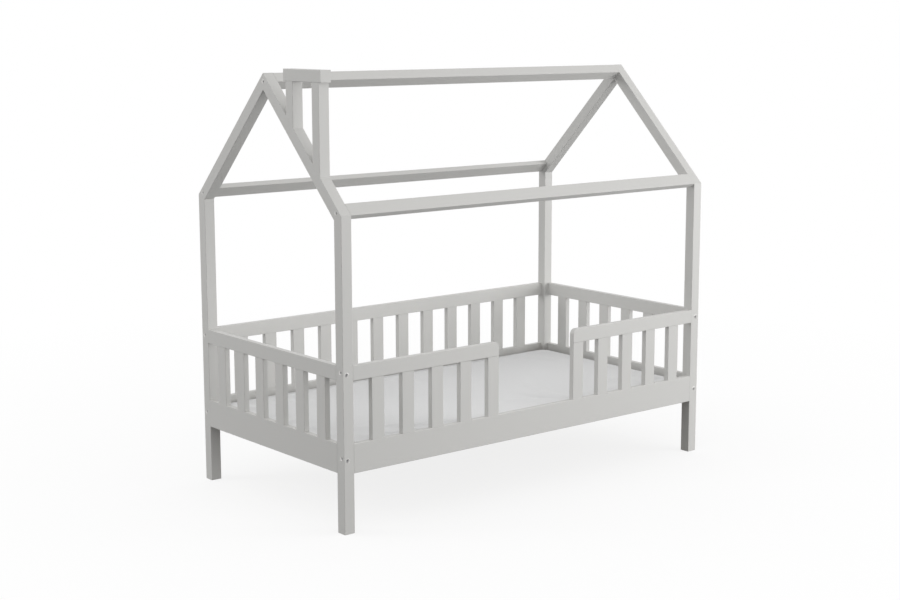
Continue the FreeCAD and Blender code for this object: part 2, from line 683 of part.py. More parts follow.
def makeLedger(side, rail):
    """Strip along a long bottom rail, flush with its lower edge, its tongue in the rail's groove."""
    ledger = Piece(f"ledger_{side}")
    face = "panel_thickness"
    back = "(panel_thickness - ledger_tongue_depth)"
    corners = [
        (face, 0),
        ("panel_thickness + ledger_width", 0),
        ("panel_thickness + ledger_width", "ledger_height"),
        (face, "ledger_height"),
        (face, TONGUE_TOP),
        (back, TONGUE_TOP),
        (back, TONGUE_BASE),
        (face, TONGUE_BASE),
    ]
    ledger.pad(ledger.polygon("YZ", corners), SPAN_X)
    for across in (BASE_FIRST, f"({SPAN_X} - {BASE_FIRST})"):
        place = (across, "panel_thickness + ledger_width / 2", "ledger_height")
        depth = "screw_length - base_slat_thickness + end_gap"
        ledger.bore(SHANK_SIDES, "screw_diameter + 2 * thread_clearance", depth, place, DOWN)
    x, y, turn = SIDES[side]
    ledger.put(x=x, y=y, z="rail_underside", turn=turn)

    groove = rail.rectangle("YZ", (f"{back} - end_gap", f"{TONGUE_BASE} - tenon_clearance"),
                            (face, f"{TONGUE_TOP} + tenon_clearance"))
    rail.cut(groove, SPAN_X, reverse=True)


def makeBaseSlats():
    """Boards across the bed that lie on the two ledgers."""
    slats = Piece("base_slats")
    reach = f"({HALF_Y} - panel_thickness - base_slat_clearance)"
    half = "(base_slat_width / 2)"
    profile = slats.rectangle("XY", (f"-{half}", f"-{reach}"), (half, reach))
    slats.pad(profile, "base_slat_thickness")
    slats.bevel(along((0, 1, 0)))
    slats.repeat([], profile, BASE_PITCH, "base_slat_count - 2", whole=True)
    slats.put(x=f"-{SPAN_X} / 2 + {BASE_FIRST} + {BASE_PITCH}", z=LEDGER_TOP)


def makeEndSlat(label, side):
    """The first or last board, screwed down to both ledgers."""
    slat = Piece(label)
    reach = f"({HALF_Y} - panel_thickness - base_slat_clearance)"
    half = "(base_slat_width / 2)"
    slat.pad(slat.rectangle("XY", (f"-{half}", f"-{reach}"), (half, reach)), "base_slat_thickness")
    slat.bevel(along((0, 1, 0)))
    for y in (f"-{SCREW_Y}", SCREW_Y):
        top = (0, y, "base_slat_thickness")
        thread = "screw_diameter + 2 * thread_clearance"
        slat.bore(SHANK_SIDES, thread, "base_slat_thickness", top, DOWN)
        head = "screw_head_diameter + 2 * thread_clearance"
        slat.bore(HEAD_SIDES, head, "screw_head_height", top, DOWN)
    slat.put(x=f"{side} * ({SPAN_X} / 2 - {BASE_FIRST})", z=LEDGER_TOP)


def makeWebbing(label, side):
    """A band stapled along the underside of the base slats, just inside a ledger."""
    band = Piece(label)
    near = f"({HALF_Y} - panel_thickness - ledger_width - webbing_inset)"
    far = f"({near} - webbing_width)"
    span = f"({SPAN_X} / 2 - base_slat_margin)"
    band.pad(band.rectangle("XY", (f"-{span}", far), (span, near)), "webbing_thickness")
    band.put(z=f"{LEDGER_TOP} - webbing_thickness", turn=side)


def roundedSection(inset, z):
    """The mattress outline drawn in by an inset, at a height."""
    halfX = measure("mattress_length / 2") - inset
    halfY = measure("mattress_width / 2") - inset
    radius = measure("mattress_corner_radius")
    corner = radius * (1 - 0.5 ** 0.5)
    edges = []
    for sx, sy in ((1, 1), (-1, 1), (-1, -1), (1, -1)):
        onX = FreeCAD.Vector(sx * halfX, sy * (halfY - radius), z)
        onY = FreeCAD.Vector(sx * (halfX - radius), sy * halfY, z)
        bend = FreeCAD.Vector(sx * (halfX - corner), sy * (halfY - corner), z)
        first, last = (onX, onY) if sx == sy else (onY, onX)
        edges.append(Part.Arc(first, bend, last).toShape())
    straight = []
    for index, edge in enumerate(edges):
        following = edges[(index + 1) % 4]
        straight += [edge, Part.makeLine(edge.lastVertex().Point, following.firstVertex().Point)]
    return Part.Wire(straight)


def makeMattress():
    """Soft block: piping near both faces, sides drawn in between, the top swelling a little."""
    thickness = measure("mattress_thickness")
    seam = measure("mattress_seam_height")
    waist = measure("mattress_waist")
    crown = measure("mattress_crown")
    run = measure("mattress_crown_run")
    levels = [
        (seam, 0),
        (seam / 3, seam / 3),
        (0, seam),
        (waist, thickness / 2),
        (0, thickness - crown - seam),
        (seam / 3, thickness - crown - seam / 3),
        (seam, thickness - crown),
        (run, thickness),
    ]
    wires = [roundedSection(inset, z) for inset, z in levels]
    mattress = doc.addObject("Part::Feature", "mattress")
    mattress.Label = "mattress"
    mattress.Shape = Part.makeLoft(wires, True, True)
    put(mattress, z=f"{BASE_TOP} + mattress_lift")
    NODES.append(mattress)


for side, rail in LONG_RAILS.items():
    makeLedger(side, rail)
makeBaseSlats()
makeEndSlat("left_end_slat", -1)
makeEndSlat("right_end_slat", 1)
makeWebbing("webbing_back", 0)
makeWebbing("webbing_front", 180)
makeMattress()
print("base made")


# ---- fasteners and loose tongues --------------------------------------------------------------

def copies(label, master, places):
    """A node of equal parts: places lists (x, y, z, turn, axis) for the master part."""
    links = []
    for number, (x, y, z, turn, axis) in enumerate(places, start=1):
        link = doc.addObject("App::Link", f"{label}_{number}")
        link.LinkedObject = master
        put(link, x, y, z, turn, axis)
        links.append(link)
    group = doc.addObject("Part::Compound", label)
    group.Label = label
    group.Links = links
    NODES.append(group)


def boltMaster():
    """Connector bolt along -Z with a hexagon socket, the underside of its head at the origin."""
    bolt = Piece("bolt_form", exported=False)
    bolt.prism("Additive", HEAD_SIDES, "head_diameter", "head_height", (0, 0, 0), UP)
    bolt.prism("Additive", SHANK_SIDES, "bolt_diameter", "bolt_length", (0, 0, 0), DOWN)
    bolt.bore(6, "2 * socket_radius", "socket_depth", (0, 0, "head_height"), DOWN)
    return bolt.body


def screwMaster():
    """Flush-head screw along -Z, the top of its head at the origin."""
    screw = Piece("screw_form", exported=False)
    screw.prism("Additive", HEAD_SIDES, "screw_head_diameter", "screw_head_height", (0, 0, 0), DOWN)
    screw.prism("Additive", SHANK_SIDES, "screw_diameter", "screw_length", (0, 0, 0), DOWN)
    return screw.body


def tongueMaster(name, length):
    """Loose tongue, centred, its length along Z and its flat in the XZ plane."""
    tongue = Piece(name, exported=False)
    low = ("-loose_tongue_width / 2", "-loose_tongue_thickness / 2")
    high = ("loose_tongue_width / 2", "loose_tongue_thickness / 2")
    tongue.pad(tongue.rectangle("XY", low, high, f"-{length} / 2"), length)
    return tongue.body


def railBolts():
    """The underside of each head lies at the bottom of its recess."""
    places = []
    seat = "post_side - recess_depth"
    for end, outX, outY in ((-1, OUT_LEFT, OUT_FRONT), (1, OUT_RIGHT, OUT_BACK)):
        for side in (-1, 1):
            for middle in (BOTTOM_RAIL_MIDDLE, TOP_RAIL_MIDDLE):
                x = f"{end} * ({SPAN_X} / 2 + {seat})"
                y = f"{side} * ({HALF_Y} - {BOLT_INSET})"
                places.append((x, y, f"{middle} + bolt_stagger", *outX))
                x = f"{side} * ({HALF_X} - {BOLT_INSET})"
                y = f"{end} * ({SPAN_Y} / 2 + {seat})"
                places.append((x, y, f"{middle} - bolt_stagger", *outY))
    return places


def gableBolts():
    places = []
    for end, turned in ((-1, OUT_LEFT), (1, OUT_RIGHT)):
        x = f"{end} * ({SPAN_X} / 2 + post_side - recess_depth)"
        places.append((x, 0, RIDGE_MIDDLE, *turned))
        for side in (1, -1):
            places.append((x, f"{side} * {EAVES_BOLT[0]}", EAVES_BOLT[1], *turned))
    return places


def mitreTongues():
    places = []
    for end in (-1, 1):
        x = f"{end} * ({HALF_X} - post_side / 2)"
        places.append((x, 0, APEX_TONGUE_Z, *OUT_FRONT))
        for side in (-1, 1):
            y = f"{side} * ({HALF_Y} - post_side / 2)"
            z = f"eaves_height - {MITRE_DROP} / 2"
            places.append((x, y, z, f"{side} * {MITRE_TILT}", (1, 0, 0)))
    return places


def chimneyTongues():
    places = []
    x = f"post_side / 2 - {HALF_X}"
    for middle in CHIMNEY_MIDDLES.values():
        places.append((x, middle, f"{RIDGE_Z} + {middle} * tan(roof_pitch)", *UP))
        places.append((x, middle, UPRIGHT_TOP, *UP))
    return places


def slatScrews():
    x = f"({SPAN_X} / 2 - {BASE_FIRST})"
    return [(f"{end} * {x}", f"{side} * {SCREW_Y}", BASE_TOP, *UP) for end in (-1, 1) for side in (-1, 1)]


bolt = boltMaster()
copies("rail_bolts", bolt, railBolts())
copies("gable_bolts", bolt, gableBolts())
copies("slat_screws", screwMaster(), slatScrews())
copies("mitre_tongues", tongueMaster("mitre_tongue_form", "mitre_tongue_length"), mitreTongues())
copies("chimney_tongues", tongueMaster("chimney_tongue_form", "chimney_tongue_length"), chimneyTongues())
print("fasteners made")


# ---- test and export --------------------------------------------------------------------------

doc.recompute()
for item in doc.Objects:
    if "Invalid" in item.State or "Error" in item.State:
        raise ValueError(f"{item.Name} failed: {item.State}")
os.makedirs("parts", exist_ok=True)
for node in NODES:
    if node.Shape.isNull() or not node.Shape.isValid():
        raise ValueError(f"{node.Label} has no valid shape")
    node.Shape.exportStep(f"parts/{node.Label}.step")
print(f"{len(NODES)} nodes, {sum(len(node.Shape.Solids) for node in NODES)} solids")
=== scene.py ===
import json
import math

import bmesh
import bpy
from mathutils import Matrix, Vector, noise


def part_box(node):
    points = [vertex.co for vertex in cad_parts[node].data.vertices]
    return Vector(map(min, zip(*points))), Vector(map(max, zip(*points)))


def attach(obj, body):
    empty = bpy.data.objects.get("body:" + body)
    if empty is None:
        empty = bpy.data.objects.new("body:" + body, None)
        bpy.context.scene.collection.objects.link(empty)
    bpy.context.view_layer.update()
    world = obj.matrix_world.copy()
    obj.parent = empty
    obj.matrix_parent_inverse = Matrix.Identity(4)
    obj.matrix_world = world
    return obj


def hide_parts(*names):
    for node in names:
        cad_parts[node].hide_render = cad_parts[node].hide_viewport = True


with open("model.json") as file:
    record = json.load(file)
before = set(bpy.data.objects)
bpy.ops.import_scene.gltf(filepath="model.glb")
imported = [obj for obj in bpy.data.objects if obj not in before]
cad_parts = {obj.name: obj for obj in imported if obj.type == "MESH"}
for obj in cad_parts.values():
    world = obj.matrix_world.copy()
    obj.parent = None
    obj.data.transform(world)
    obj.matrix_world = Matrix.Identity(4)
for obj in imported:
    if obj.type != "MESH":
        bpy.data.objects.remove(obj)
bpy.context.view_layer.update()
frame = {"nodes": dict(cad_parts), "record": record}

nodes = frame["nodes"]
scene = bpy.context.scene
quarter = math.pi / 2
print("frame loaded:", len(nodes), "nodes")


# Shader maths: an expression on these values adds its own nodes.
class Value:
    def __init__(self, shader, socket):
        self.shader = shader
        self.socket = socket

    def math(self, operation, *others):
        return self.shader.node("ShaderNodeMath", {"operation": operation}, [self, *others])

    def __add__(self, other):
        return self.math("ADD", other)

    def __sub__(self, other):
        return self.math("SUBTRACT", other)

    def __rsub__(self, other):
        return self.shader.node("ShaderNodeMath", {"operation": "SUBTRACT"}, [other, self])

    def __mul__(self, other):
        return self.math("MULTIPLY", other)

    def __truediv__(self, other):
        return self.math("DIVIDE", other)

    def __pow__(self, other):
        return self.math("POWER", other)

    __radd__ = __add__
    __rmul__ = __mul__

    def fract(self):
        return self.math("FRACT")

    def abs(self):
        return self.math("ABSOLUTE")

    def sine(self):
        return self.math("SINE")

    def least(self, other):
        return self.math("MINIMUM", other)

    def most(self, other):
        return self.math("MAXIMUM", other)

    def clamp(self):
        return self.most(0.0).least(1.0)

    # the same node's outputs by name, where it has several
    def outputs(self, *names):
        return [Value(self.shader, self.socket.node.outputs[name]) for name in names]


class Shader:
    def __init__(self, owner, surface="Principled BSDF"):
        owner.use_nodes = True            # a material or the world
        self.owner = owner
        self.tree = owner.node_tree
        self.surface = self.tree.nodes[surface]

    # every node comes from here: settings first, then inputs as a list or by socket name
    def node(self, kind, settings=None, inputs=(), output=0):
        made = self.tree.nodes.new(kind)
        for key, setting in (settings or {}).items():
            setattr(made, key, setting)
        pairs = inputs.items() if isinstance(inputs, dict) else enumerate(inputs)
        for key, given in pairs:
            self.feed(made.inputs[key], given)
        return Value(self, made.outputs[output])

    def feed(self, socket, given):
        if isinstance(given, Value):
            self.tree.links.new(given.socket, socket)
        elif given is not None:
            socket.default_value = given

    def set(self, **inputs):
        for name, given in inputs.items():
            self.feed(self.surface.inputs[socketNames.get(name, name)], given)

    # object coordinates, turned so that the grain runs along the local z axis, then stretched
    def coordinates(self, turn=(0, 0, 0), scale=(1, 1, 1), shift=(0, 0, 0)):
        place = self.node("ShaderNodeTexCoord", output="Object")
        turned = self.node("ShaderNodeMapping", {}, {"Vector": place, "Rotation": turn, "Location": shift})
        return self.node("ShaderNodeMapping", {}, {"Vector": turned, "Scale": scale})

    def noise(self, place, scale, detail=3.0, rough=0.5):
        return self.node("ShaderNodeTexNoise", {}, {"Vector": place, "Scale": scale, "Detail": detail,
                                                    "Roughness": rough})

    def split(self, place):
        return self.node("ShaderNodeSeparateXYZ", {}, [place]).outputs("X", "Y", "Z")

    # a Mix node's colour sockets have no names of their own, so they go by number
    def mix(self, factor, low, high):
        firstColour, secondColour, colourResult = 6, 7, 2
        return self.node("ShaderNodeMix", {"data_type": "RGBA"},
                         {"Factor": factor, firstColour: low, secondColour: high}, colourResult)

    def bump(self, height, distance, strength=1.0, under=None):
        return self.node("ShaderNodeBump", {}, {"Height": height, "Distance": distance,
                                                "Strength": strength, "Normal": under})

    # 1 for what the camera sees straight, mirrored or through glass, and 0 for light on the bed
    def seen(self):
        camera, mirrored, through = self.node("ShaderNodeLightPath").outputs(
            "Is Camera Ray", "Is Glossy Ray", "Is Transmission Ray")
        return camera.most(mirrored).most(through)


socketNames = {
    "colour": "Base Color",
    "roughness": "Roughness",
    "metallic": "Metallic",
    "normal": "Normal",
    "sheen": "Sheen Weight",
    "sheenRoughness": "Sheen Roughness",
}


def newMaterial(name):
    return Shader(bpy.data.materials.new(name))


def rgb(*parts):
    return (*parts, 1.0)


growth = {
    "stretch": 0.05,             # rings change this much slower along the piece
    "wander": 0.02,              # how far they stray from circles
    "wanderScale": 9.0,
    "sharpness": 3.0,            # slow rise to the dark late wood, then a sharp end
    "fibreStretch": 0.012,
    "fibreScale": 900.0,
}


# Growth rings about a pith that lies beside the piece, so sides show streaks and ends show arcs.
def woodRings(shader, turn, pith, ringWidth):
    g = growth
    place = shader.coordinates(turn, (1, 1, g["stretch"]), pith)
    wander = shader.noise(place, g["wanderScale"], 2.0)
    x, y, _ = shader.split(place)
    radius = (x * x + y * y) ** 0.5
    phase = (radius + (wander - 0.5) * g["wander"]) / ringWidth
    late = phase.fract() ** g["sharpness"]
    fibre = shader.noise(shader.coordinates(turn, (1, 1, g["fibreStretch"])), g["fibreScale"], 2.0)
    return late, fibre


timberPaint = {
    "colour": (0.566, 0.564, 0.550),
    "warmer": (0.580, 0.573, 0.553),
    "roughness": 0.42,
    "pith": (0.031, 0.047, 0.3),
    "pithStep": 0.004,           # each way of the grain has its rings a little further off
    "ringWidth": 0.0042,
    "grainDepth": 0.00010,
    "cloudScale": 6.0,
    "cloudStretch": 0.25,
    "filmScale": 420.0,
    "filmDepth": 0.00006,
}


# Satin paint over softwood: the grain only just telegraphs through the film.
def paintedTimber(name, turn, pith):
    p = timberPaint
    shader = newMaterial(name)
    late, fibre = woodRings(shader, turn, pith, p["ringWidth"])
    cloud = shader.noise(shader.coordinates(turn, (1, 1, p["cloudStretch"])), p["cloudScale"], 3.0)
    film = shader.noise(shader.coordinates(), p["filmScale"], 2.0)
    tone = (cloud * 0.7 + late * 0.22 + fibre * 0.08).clamp()
    colour = shader.mix(tone, rgb(*p["colour"]), rgb(*p["warmer"]))
    grain = shader.bump(late * 0.6 + fibre * 0.4, p["grainDepth"])
    normal = shader.bump(film, p["filmDepth"], 0.6, grain)
    shader.set(colour=colour, roughness=p["roughness"] + (cloud - 0.5) * 0.10 + (film - 0.5) * 0.08,
               normal=normal)
    return shader.owner


bareTimber = {
    "early": (0.72, 0.55, 0.36),
    "late": (0.52, 0.34, 0.18),
    "roughness": 0.62,
    "pith": (0.05, 0.13, 0.2),
    "ringWidth": 0.0048,
    "grainDepth": 0.00018,
    "cloudScale": 5.0,
    "cloudStretch": 0.2,
}


def planedTimber(name, turn):
    p = bareTimber
    shader = newMaterial(name)
    late, fibre = woodRings(shader, turn, p["pith"], p["ringWidth"])
    cloud = shader.noise(shader.coordinates(turn, (1, 1, p["cloudStretch"])), p["cloudScale"], 3.0)
    tone = (late * 0.62 + fibre * 0.20 + cloud * 0.18).clamp()
    shader.set(colour=shader.mix(tone, rgb(*p["early"]), rgb(*p["late"])),
               roughness=p["roughness"] + (fibre - 0.5) * 0.15,
               normal=shader.bump(late * 0.5 + fibre * 0.5, p["grainDepth"]))
    return shader.owner


dullZinc = {
    "bright": (0.37, 0.37, 0.375),
    "dull": (0.29, 0.29, 0.295),
    "roughness": 0.62,
    "metallic": 0.12,            # most of its light is scattered, so it is dark where no lamp reaches
}
nickelPlate = {
    "bright": (0.61, 0.605, 0.59),
    "dull": (0.51, 0.505, 0.495),
    "roughness": 0.30,
    "metallic": 1.0,
}


def platedSteel(name, p):
    shader = newMaterial(name)
    spangle = shader.noise(shader.coordinates(), 260.0, 3.0)
    scratch = shader.noise(shader.coordinates((0, 0, 0), (1, 8, 1)), 1500.0, 2.0)
    shader.set(colour=shader.mix(spangle, rgb(*p["bright"]), rgb(*p["dull"])),
               metallic=p["metallic"],
               roughness=p["roughness"] + (spangle - 0.5) * 0.2,
               normal=shader.bump(scratch, 0.00002, 0.5))
    return shader.owner


# Plain weave: two sets of rounded threads that pass over and under each other.
def weaveHeight(shader, place, pitch):
    x, y, _ = shader.split(place)
    warp = (x / pitch * math.pi).sine()
    weft = (y / pitch * math.pi).sine()
    over = (warp * weft) * 0.5 + 0.5
    return warp.abs() * over + weft.abs() * (1 - over)


coverCloth = {
    "colour": (0.795, 0.796, 0.797),
    # painted shade for the hollows of the weave, and the darker end of the random slub and cloud tone
    "shade": (0.725, 0.728, 0.733),
    "roughness": 0.9,
    "sheen": 0.15,
    "sheenRoughness": 0.5,
    "threadPitch": 0.0011,
    "weaveDepth": 0.00022,
    "slubScale": 160.0,          # uneven threads
    "creaseScale": 9.0,
    "creaseStretch": 0.35,
    "creaseTurn": 0.5,
    "creaseDepth": 0.0016,
    "cloudScale": 3.5,
}


def mattressCloth():
    p = coverCloth
    shader = newMaterial("mattressCloth")
    height = weaveHeight(shader, shader.coordinates(), p["threadPitch"])
    slub = shader.noise(shader.coordinates(), p["slubScale"], 3.0)
    slanted = shader.coordinates((0, 0, p["creaseTurn"]), (1, p["creaseStretch"], 1))
    crease = shader.noise(slanted, p["creaseScale"], 3.0, 0.55)
    cloud = shader.noise(shader.coordinates(), p["cloudScale"], 2.0)
    # Painted shade: the cover is darker in the hollows between threads; slub and cloud add random tone of
    # the cloth itself
    tone = (height * 0.35 + slub * 0.35 + cloud * 0.3).clamp()
    soft = shader.bump(crease, p["creaseDepth"], 0.5)
    shader.set(colour=shader.mix(tone, rgb(*p["shade"]), rgb(*p["colour"])),
               roughness=p["roughness"], sheen=p["sheen"], sheenRoughness=p["sheenRoughness"],
               normal=shader.bump(height * 0.8 + slub * 0.2, p["weaveDepth"], 0.7, soft))
    return shader.owner


webbing = {
    # painted shade for the hollows of the weave, and the darker end of the random cloud tone
    "shade": (0.50, 0.49, 0.46),
    "colour": (0.74, 0.73, 0.69),
    "roughness": 0.85,
    "threadPitch": 0.0016,
    "weaveDepth": 0.0004,
    "cloudScale": 40.0,
}


def webbingCloth():
    p = webbing
    shader = newMaterial("webbingCloth")
    height = weaveHeight(shader, shader.coordinates((0, 0, math.pi / 4)), p["threadPitch"])
    cloud = shader.noise(shader.coordinates(), p["cloudScale"], 2.0)
    # Painted shade: the band is darker in the hollows between threads; cloud adds random tone of the band
    # itself
    tone = (height * 0.7 + cloud * 0.3).clamp()
    shader.set(colour=shader.mix(tone, rgb(*p["shade"]), rgb(*p["colour"])),
               roughness=p["roughness"], normal=shader.bump(height, p["weaveDepth"], 0.8))
    return shader.owner


# One painted material for each way that the grain can run: up, along the bed, across it, up a slope.
grainTurns = {
    "up": (0, 0, 0),
    "along": (0, quarter, 0),
    "across": (quarter, 0, 0),
    "frontSlope": (math.pi / 4, 0, 0),
    "backSlope": (-math.pi / 4, 0, 0),
}
grainOf = {
    "up": ["post_", "slats", "stile", "chimney_upright"],
    "across": ["left_bottom", "left_top", "right_bottom", "right_top", "chimney_cap"],
    "frontSlope": ["rafter_front"],
    "backSlope": ["rafter_back"],
    "along": ["ridge_beam", "eaves_beam", "guard_rail", "front_bottom", "back_bottom", "back_top"],
}
bareNodes = {
    "base_slats": "across",
    "left_end_slat": "across",
    "right_end_slat": "across",
    "ledger_front": "along",
    "ledger_back": "along",
    "mitre_tongues": "across",
    "chimney_tongues": "up",
}
slotOf = {row["node"]: row["material_slot"] for row in frame["record"]["subparts"]}


def wear(node, material):
    mesh = nodes[node].data
    mesh.materials.clear()
    mesh.materials.append(material)


def finishTimber():
    x, y, z = timberPaint["pith"]
    painted = {}
    for number, (run, turn) in enumerate(grainTurns.items()):
        painted[run] = paintedTimber("paint_" + run, turn, (x + timberPaint["pithStep"] * number, y, z))
    bare = {run: planedTimber("bareTimber_" + run, grainTurns[run]) for run in ("up", "along", "across")}
    for node in sorted(nodes):
        if node in bareNodes:
            wear(node, bare[bareNodes[node]])
        elif slotOf[node] == "paint":
            run = next(run for run, names in grainOf.items() if any(name in node for name in names))
            wear(node, painted[run])


finishTimber()
bands = webbingCloth()
for node in ("webbing_front", "webbing_back"):
    wear(node, bands)
print("timber and webbing finished")


sharpFrom = math.radians(40)     # edges that turn by more stay sharp


# New pieces: a bmesh made at its place becomes an object that rides on a body.
def addPiece(name, mesh, material, body, slot, *stoodFor):
    data = bpy.data.meshes.new(name)
    mesh.to_mesh(data)
    mesh.free()
    data.materials.append(material)
    data.shade_smooth()
    data.set_sharp_from_angle(angle=sharpFrom)
    piece = bpy.data.objects.new(name, data)
    scene.collection.objects.link(piece)
    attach(piece, body)
    if stoodFor:
        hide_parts(*stoodFor)
    return piece


def vertsIn(geom):
    return [part for part in geom if isinstance(part, bmesh.types.BMVert)]


def edgesIn(geom):
    return [part for part in geom if isinstance(part, bmesh.types.BMEdge)]


bolt = {
    "headRadius": 0.006,
    "headHeight": 0.003,
    "countersunk": 0.0,          # how deep the head's cone goes into the wood
    "rim": 0.0007,
    "socketRadius": 0.0021,
    "socketDepth": 0.0016,
    "length": 0.070,
    "coreRadius": 0.0022,
    "threadRadius": 0.003,
    "threadStart": 0.030,
    "threadPitch": 0.004,
}
slatScrew = {
    "headRadius": 0.004,
    "headHeight": 0.0006,
    "countersunk": 0.0019,
    "rim": 0.0002,
    "socketRadius": 0.0019,
    "socketDepth": 0.0016,
    "length": 0.0254,
    "coreRadius": 0.0013,
    "threadRadius": 0.00195,
    "threadStart": 0.012,
    "threadPitch": 0.0024,
}
turning = {
    "sides": 32,                 # of every turned shape
    "socketMouth": 1.12,         # the socket's opening before it is drawn in to six sides
    "valley": 0.35,              # where a thread's valley lies, as a share of its pitch
    "crest": 0.85,
    "plain": 1.6,                # pitches without a thread before the point
    "point": 0.6,                # the point's length, in core radii
}


# Profile points (radius, height) spun about Z into a shape of revolution.
def spinProfile(mesh, points, closed=False):
    verts = [mesh.verts.new((radius, 0, height)) for radius, height in points]
    pairs = list(zip(verts, verts[1:])) + ([(verts[-1], verts[0])] if closed else [])
    edges = [mesh.edges.new(pair) for pair in pairs]
    bmesh.ops.spin(mesh, geom=verts + edges, cent=(0, 0, 0), axis=(0, 0, 1), dvec=(0, 0, 0),
                   angle=2 * math.pi, steps=turning["sides"], use_merge=True, use_duplicate=False)
    bmesh.ops.remove_doubles(mesh, verts=mesh.verts, dist=1e-6)


# A screw along -Z, the seat of its head at the origin, with a hexagon socket.
def screwShape(p):
    t = turning
    mesh = bmesh.new()
    points = [(p["socketRadius"] * t["socketMouth"], p["headHeight"]),
              (p["headRadius"] - p["rim"], p["headHeight"]),
              (p["headRadius"], p["headHeight"] - p["rim"]),
              (p["headRadius"], 0.0),
              (p["threadRadius"], -p["countersunk"]),
              (p["threadRadius"], -p["threadStart"])]
    depth = p["threadStart"]
    while depth < p["length"] - t["plain"] * p["threadPitch"]:
        points.append((p["coreRadius"], -depth - p["threadPitch"] * t["valley"]))
        points.append((p["threadRadius"], -depth - p["threadPitch"] * t["crest"]))
        points.append((p["threadRadius"], -depth - p["threadPitch"]))
        depth += p["threadPitch"]
    points += [(p["coreRadius"], -p["length"] + p["coreRadius"] * t["point"]), (0.0, -p["length"])]
    spinProfile(mesh, points)
    # the socket: a ring drawn in to six sides, then sunk
    rim = [edge for edge in mesh.edges if edge.is_boundary]
    made = bmesh.ops.extrude_edge_only(mesh, edges=rim)["geom"]
    for vert in vertsIn(made):
        angle = math.atan2(vert.co.y, vert.co.x)
        sector = (angle % (math.pi / 3)) - math.pi / 6
        flat = p["socketRadius"] * math.cos(math.pi / 6) / math.cos(sector)
        vert.co.x = flat * math.cos(angle)
        vert.co.y = flat * math.sin(angle)
    walls = bmesh.ops.extrude_edge_only(mesh, edges=edgesIn(made))["geom"]
    bmesh.ops.translate(mesh, verts=vertsIn(walls), vec=(0, 0, -p["socketDepth"]))
    bmesh.ops.contextual_create(mesh, geom=edgesIn(walls))
    bmesh.ops.recalc_face_normals(mesh, faces=mesh.faces)
    return mesh


# Dished nickel cup round a bolt's head: radius, and height over the floor of the recess.
cupProfile = [(0.0047, 0.0033), (0.0047, 0.0037), (0.0050, 0.0040), (0.0067, 0.0071), (0.0071, 0.0074),
              (0.0076, 0.0073), (0.0077, 0.0071), (0.0067, 0.0069), (0.0063, 0.0062)]


def cupShape():
    mesh = bmesh.new()
    spinProfile(mesh, cupProfile, closed=True)
    bmesh.ops.recalc_face_normals(mesh, faces=mesh.faces)
    return mesh


# The separate solids of a CAD node, each as its vertices' places.
def solidsOf(node):
    mesh = bmesh.new()
    mesh.from_mesh(nodes[node].data)
    bmesh.ops.remove_doubles(mesh, verts=mesh.verts, dist=1e-5)
    known = set()
    solids = []
    for start in mesh.verts:
        if start in known:
            continue
        known.add(start)
        solid = [start]
        for vert in solid:                      # grows while it is walked through
            for edge in vert.link_edges:
                near = edge.other_vert(vert)
                if near not in known:
                    known.add(near)
                    solid.append(near)
        solids.append([vert.co.copy() for vert in solid])
    mesh.free()
    return solids


# Where the head of each CAD screw meets its seat, turned so that Z points out of the wood.
def screwSeats(node, headHeight):
    seats = []
    for points in solidsOf(node):
        low = Vector([min(p[i] for p in points) for i in range(3)])
        high = Vector([max(p[i] for p in points) for i in range(3)])
        middle = (low + high) / 2
        lengthwise = max(range(3), key=lambda i: (high - low)[i])
        upper = middle[lengthwise] > 0
        outward = Vector((0, 0, 0))
        outward[lengthwise] = 1 if upper else -1
        seat = middle.copy()
        seat[lengthwise] = (high if upper else low)[lengthwise]
        turned = outward.to_track_quat("Z", "Y").to_matrix().to_4x4()
        seats.append(Matrix.Translation(seat - outward * headHeight) @ turned)
    return seats


# One shape set down at every seat, joined into one mesh.
def repeatShape(shape, seats):
    template = bpy.data.meshes.new("template")
    shape.to_mesh(template)
    shape.free()
    joined = bmesh.new()
    for seat in seats:
        known = len(joined.verts)
        joined.from_mesh(template)
        joined.verts.ensure_lookup_table()
        bmesh.ops.transform(joined, matrix=seat, verts=joined.verts[known:])
    bpy.data.meshes.remove(template)
    return joined


steel = platedSteel("dullSteel", dullZinc)
nickel = platedSteel("nickelPlate", nickelPlate)
for node, name in (("rail_bolts", "railBolt"), ("gable_bolts", "gableBolt")):
    seats = screwSeats(node, bolt["headHeight"])
    addPiece(name + "s", repeatShape(screwShape(bolt), seats), steel, "frame", "steel", node)
    addPiece(name + "Cups", repeatShape(cupShape(), seats), nickel, "frame", "steel")
seats = screwSeats("slat_screws", slatScrew["headHeight"])
addPiece("slatScrews", repeatShape(screwShape(slatScrew), seats), steel, "frame", "steel", "slat_screws")
print("bolts and screws placed")


